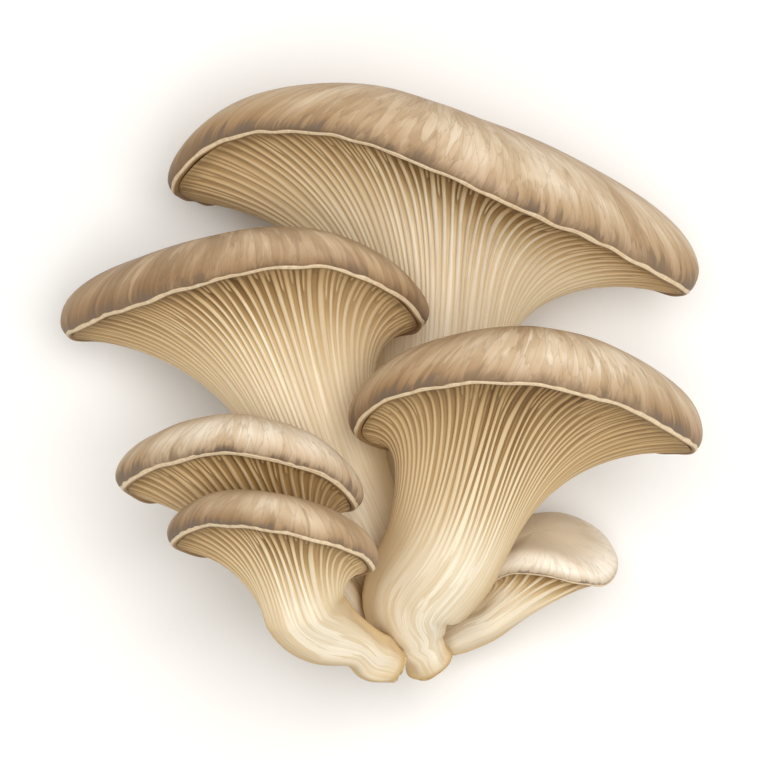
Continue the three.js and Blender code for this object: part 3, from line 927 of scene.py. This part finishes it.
edge_calm = add_node(skin, "ShaderNodeMath", {0: edge_share, 1: calm}, operation="MULTIPLY").outputs[0]
edged = add_node(skin, "ShaderNodeMix", {"Factor": edge_calm, "A": damped, "B": linear("#7d6850")},
                 data_type="RGBA").outputs["Result"]
lip_tone = add_node(skin, "ShaderNodeMix",
                    {"Factor": streak, "A": linear("#f0dfc0"), "B": linear("#c0a074")},
                    data_type="RGBA").outputs["Result"]
pale = add_node(skin, "ShaderNodeMix", {"Factor": lip, "A": edged, "B": lip_tone},
                data_type="RGBA").outputs["Result"]
# Painted shadow under the lip, turning it furrow brown
lined = add_node(skin, "ShaderNodeMix", {"Factor": inner, "A": pale, "B": linear("#8b6b43")},
                 data_type="RGBA").outputs["Result"]
skin.node_tree.links.new(lined, skin_shader.inputs["Base Color"])
streak_calm = add_node(skin, "ShaderNodeMath", {0: streak, 1: calm}, operation="MULTIPLY").outputs[0]
bump = add_node(skin, "ShaderNodeBump", {"Height": streak_calm, "Strength": 0.2, "Distance": STREAK_RELIEF})
skin.node_tree.links.new(bump.outputs["Normal"], skin_shader.inputs["Normal"])
print("skin nodes:", len(skin.node_tree.nodes))

# %% [markdown]
# ## Flesh
#
# Gills and stem are the same dry, white flesh. The brown in the furrows is painted shade, standing
# for light that would bounce between two cream walls. Furrow and gill edge each have two rows of
# colours, one for the middle of the fan and one for its sides: the middle has the darkest furrows and
# the palest edges, and the sides are a duller tan of painted shade. Both start darkest under the lip,
# a painted shadow of the cap, and fade to cream with `ripe`. Every gill has a tone of its
# own, and where the gills have sunk in, the stem's own cream takes over, with painted shade in tan
# on the stem's sides.

# %% Flesh colour
# Painted shade: furrows darker than gill edges, darkest under the lip and in the fan's middle
FURROW_SIDE = [(0.0, "#735630"), (0.1, "#9d7f53"), (0.35, "#bb9d70"), (0.65, "#ceb48a"), (0.95, "#dfc9a2")]
FURROW_MIDDLE = [(0.0, "#523a20"), (0.1, "#664924"), (0.25, "#876538"),
                 (0.42, "#ab8b5a"), (0.6, "#d3ba8c"), (0.9, "#ebd8b3")]
RIDGE_SIDE = [(0.0, "#967a50"), (0.1, "#bea075"), (0.35, "#d6bb91"), (0.65, "#dfc8a1"), (0.95, "#e6d3b0")]
RIDGE_MIDDLE = [(0.0, "#876840"), (0.06, "#a6875c"), (0.16, "#d0b589"),
                (0.3, "#e6d4b1"), (0.55, "#f3e6cb"), (0.9, "#f9edd6")]
STEM_MIDDLE = [(0.4, "#f5e9cf"), (0.55, "#f1e7d0"), (0.85, "#eee2ca"), (0.96, "#dfccaa"), (0.99, "#c3a473")]
TONE_SHARE = 0.3

# Dry threads grown side by side, mostly air and water: no gloss, and light goes deep into it
flesh, flesh_shader = new_material("Oyster mushroom flesh", {
    "Roughness": 0.78, "IOR": 1.4, "Subsurface Weight": 0.12,
    "Subsurface Radius": (1.0, 0.65, 0.4), "Subsurface Scale": 1.5 * MM})
grain = add_node(flesh, "ShaderNodeAttribute", attribute_name="grain").outputs["Vector"]
run, relief, tone, middle, fade, ripe = (
    add_node(flesh, "ShaderNodeAttribute", attribute_name=name).outputs["Fac"]
    for name in ("run", "relief", "tone", "middle", "fade", "ripe"))
across_fan = []
for side_stops, middle_stops in ((FURROW_SIDE, FURROW_MIDDLE), (RIDGE_SIDE, RIDGE_MIDDLE)):
    at_side, in_middle = (
        add_node(flesh, "ShaderNodeValToRGB", {"Fac": ripe}, stops).outputs["Color"]
        for stops in (side_stops, middle_stops))
    across_fan.append(add_node(flesh, "ShaderNodeMix", {"Factor": middle, "A": at_side, "B": in_middle},
                               data_type="RGBA").outputs["Result"])
furrow, ridge = across_fan
ridge_share = add_node(flesh, "ShaderNodeMapRange", {"Value": relief, "From Min": 0.35, "From Max": 0.7},
                       interpolation_type="SMOOTHSTEP").outputs["Result"]
gill_colour = add_node(flesh, "ShaderNodeMix", {"Factor": ridge_share, "A": furrow, "B": ridge},
                       data_type="RGBA").outputs["Result"]
tone_here = add_node(flesh, "ShaderNodeMath", {0: tone, 1: TONE_SHARE}, operation="MULTIPLY").outputs[0]
gill_toned = add_node(flesh, "ShaderNodeMix",
                      {"Factor": tone_here, "A": gill_colour, "B": linear("#b8986a")},
                      data_type="RGBA").outputs["Result"]
# The run is 2 at the foot and a ramp goes from 0 to 1
half_run = add_node(flesh, "ShaderNodeMath", {0: run, 1: 0.5}, operation="MULTIPLY").outputs[0]
stem_middle = add_node(flesh, "ShaderNodeValToRGB", {"Fac": half_run}, STEM_MIDDLE).outputs["Color"]
# Painted shade on the stem's sides: tan there, cream in the middle
stem = add_node(flesh, "ShaderNodeMix", {"Factor": middle, "A": linear("#c3a26d"), "B": stem_middle},
                data_type="RGBA").outputs["Result"]
toned = add_node(flesh, "ShaderNodeMix", {"Factor": fade, "A": stem, "B": gill_toned},
                 data_type="RGBA").outputs["Result"]
print("flesh nodes so far:", len(flesh.node_tree.nodes))

# %% [markdown]
# Faint tan fibres run down the whole length, again as bundles wide enough to show, and longer
# patches have dried a little darker, more on the smooth stem than among the gills. The fibres are
# fine noise stretched along the stem, and the patches are Voronoi cells with frayed ends.

# %% Fibres and dried patches
FIBRE = (0.65, 20.0)
PATCH = (2.2, 15.0)
FEWER_ON_GILLS = 0.6

fibre_place, patch_place = (
    add_node(flesh, "ShaderNodeMapping", {"Vector": grain, "Scale": cells_per_mm(*size)}).outputs[0]
    for size in (FIBRE, PATCH))
fibre = add_node(flesh, "ShaderNodeTexNoise", {"Vector": fibre_place, "Scale": 1.0,
                                               "Detail": 3.0, "Roughness": 0.6}).outputs["Fac"]
fibre_share = add_node(flesh, "ShaderNodeMapRange",
                       {"Value": fibre, "From Min": 0.5, "From Max": 0.7,
                        "To Min": 0.0, "To Max": 0.36}).outputs["Result"]
fibrous = add_node(flesh, "ShaderNodeMix", {"Factor": fibre_share, "A": toned, "B": linear("#c4a477")},
                   data_type="RGBA").outputs["Result"]
fray = add_node(flesh, "ShaderNodeCombineXYZ", {"Z": fibre}).outputs[0]
patch_frayed = add_node(flesh, "ShaderNodeVectorMath", {0: patch_place, 1: fray}).outputs[0]
patch = add_node(flesh, "ShaderNodeTexVoronoi", {"Vector": patch_frayed, "Scale": 1.0}).outputs["Color"]
patch_tone = add_node(flesh, "ShaderNodeRGBToBW", {"Color": patch}).outputs[0]
patch_share = add_node(flesh, "ShaderNodeMapRange",
                       {"Value": patch_tone, "From Min": 0.42, "From Max": 0.85,
                        "To Min": 0.0, "To Max": 0.5}).outputs["Result"]
smooth_share = add_node(flesh, "ShaderNodeMath", {0: fade, 1: -FEWER_ON_GILLS, 2: 1.0},
                        operation="MULTIPLY_ADD").outputs[0]
patch_here = add_node(flesh, "ShaderNodeMath", {0: patch_share, 1: smooth_share},
                      operation="MULTIPLY").outputs[0]
patched = add_node(flesh, "ShaderNodeMix", {"Factor": patch_here, "A": fibrous, "B": linear("#caac7b")},
                   data_type="RGBA").outputs["Result"]
print("flesh nodes so far:", len(flesh.node_tree.nodes))

# %% [markdown]
# The cut at the foot is spongy and browner. Its pores are well under a millimetre, so they are
# drawn larger than they are, to show. Where the stems press together or lie deep in the cluster,
# the flesh gets brown painted shade. Ambient occlusion finds those places: it says how much of the
# air within a centimetre is open.

# %% Cut flesh and painted crevice shade
SPONGE = 1.6 * MM
CREVICE_SHADE_REACH = 10 * MM
CUT_START = 1.985
FIBRE_RELIEF = 0.2 * MM

place = add_node(flesh, "ShaderNodeTexCoord").outputs["Object"]
sponge = add_node(flesh, "ShaderNodeTexNoise", {"Vector": place, "Scale": 1 / SPONGE,
                                                "Detail": 3.0}).outputs["Fac"]
cut_tone = add_node(flesh, "ShaderNodeValToRGB", {"Fac": sponge},
                    [(0.35, "#9c7b4b"), (0.5, "#c0a26f"), (0.65, "#dcc69c")]).outputs["Color"]
cut_share = add_node(flesh, "ShaderNodeMapRange",
                     {"Value": run, "From Min": CUT_START, "From Max": 2.0,
                      "To Min": 0.0, "To Max": 0.8}).outputs["Result"]
cut = add_node(flesh, "ShaderNodeMix", {"Factor": cut_share, "A": patched, "B": cut_tone},
               data_type="RGBA").outputs["Result"]
# Painted shade in crevices: the less open air within reach, the browner the flesh
open_air = add_node(flesh, "ShaderNodeAmbientOcclusion", {"Distance": CREVICE_SHADE_REACH}, samples=4).outputs["AO"]
crevice_shade = add_node(flesh, "ShaderNodeMapRange",
                   {"Value": open_air, "From Min": 0.2, "From Max": 0.62,
                    "To Min": 0.7, "To Max": 0.0},
                   interpolation_type="SMOOTHSTEP").outputs["Result"]
crevice_shaded = add_node(flesh, "ShaderNodeMix", {"Factor": crevice_shade, "A": cut, "B": linear("#a07c44")},
                   data_type="RGBA").outputs["Result"]
flesh.node_tree.links.new(crevice_shaded, flesh_shader.inputs["Base Color"])
bump = add_node(flesh, "ShaderNodeBump", {"Height": fibre, "Strength": 0.3, "Distance": FIBRE_RELIEF})
flesh.node_tree.links.new(bump.outputs["Normal"], flesh_shader.inputs["Normal"])
print("flesh nodes:", len(flesh.node_tree.nodes))

# %% [markdown]
# ## The cluster
#
# Each mushroom becomes two pieces, which stand for the two solids of the same name. Their patterns
# start 300 mm apart, further than any piece is long, so no two mushrooms are marked alike.

# %% Build the pieces
PATTERN_STEP = 300.0
SKIN_SEED = 100
GILL_SEED = 200


def finish_piece(piece, material, node):
    """Gives a piece its material, lets it ride on the root and stand for its CAD node."""
    piece.data.materials.append(material)
    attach(piece, "root")
    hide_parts(node)


for number, m in enumerate(MUSHROOMS):
    name = m["name"]
    start = number * PATTERN_STEP
    cap_piece = closed_mesh(f"{name}_skin", *cap_surface(m, SKIN_SEED + number), m["length"], start, True)
    finish_piece(cap_piece, skin, f"{name}_cap")
    stem_piece = closed_mesh(f"{name}_gills", *gilled_body(m, GILL_SEED + number), m["length"], start, False)
    finish_piece(stem_piece, flesh, f"{name}_gilled_stem")
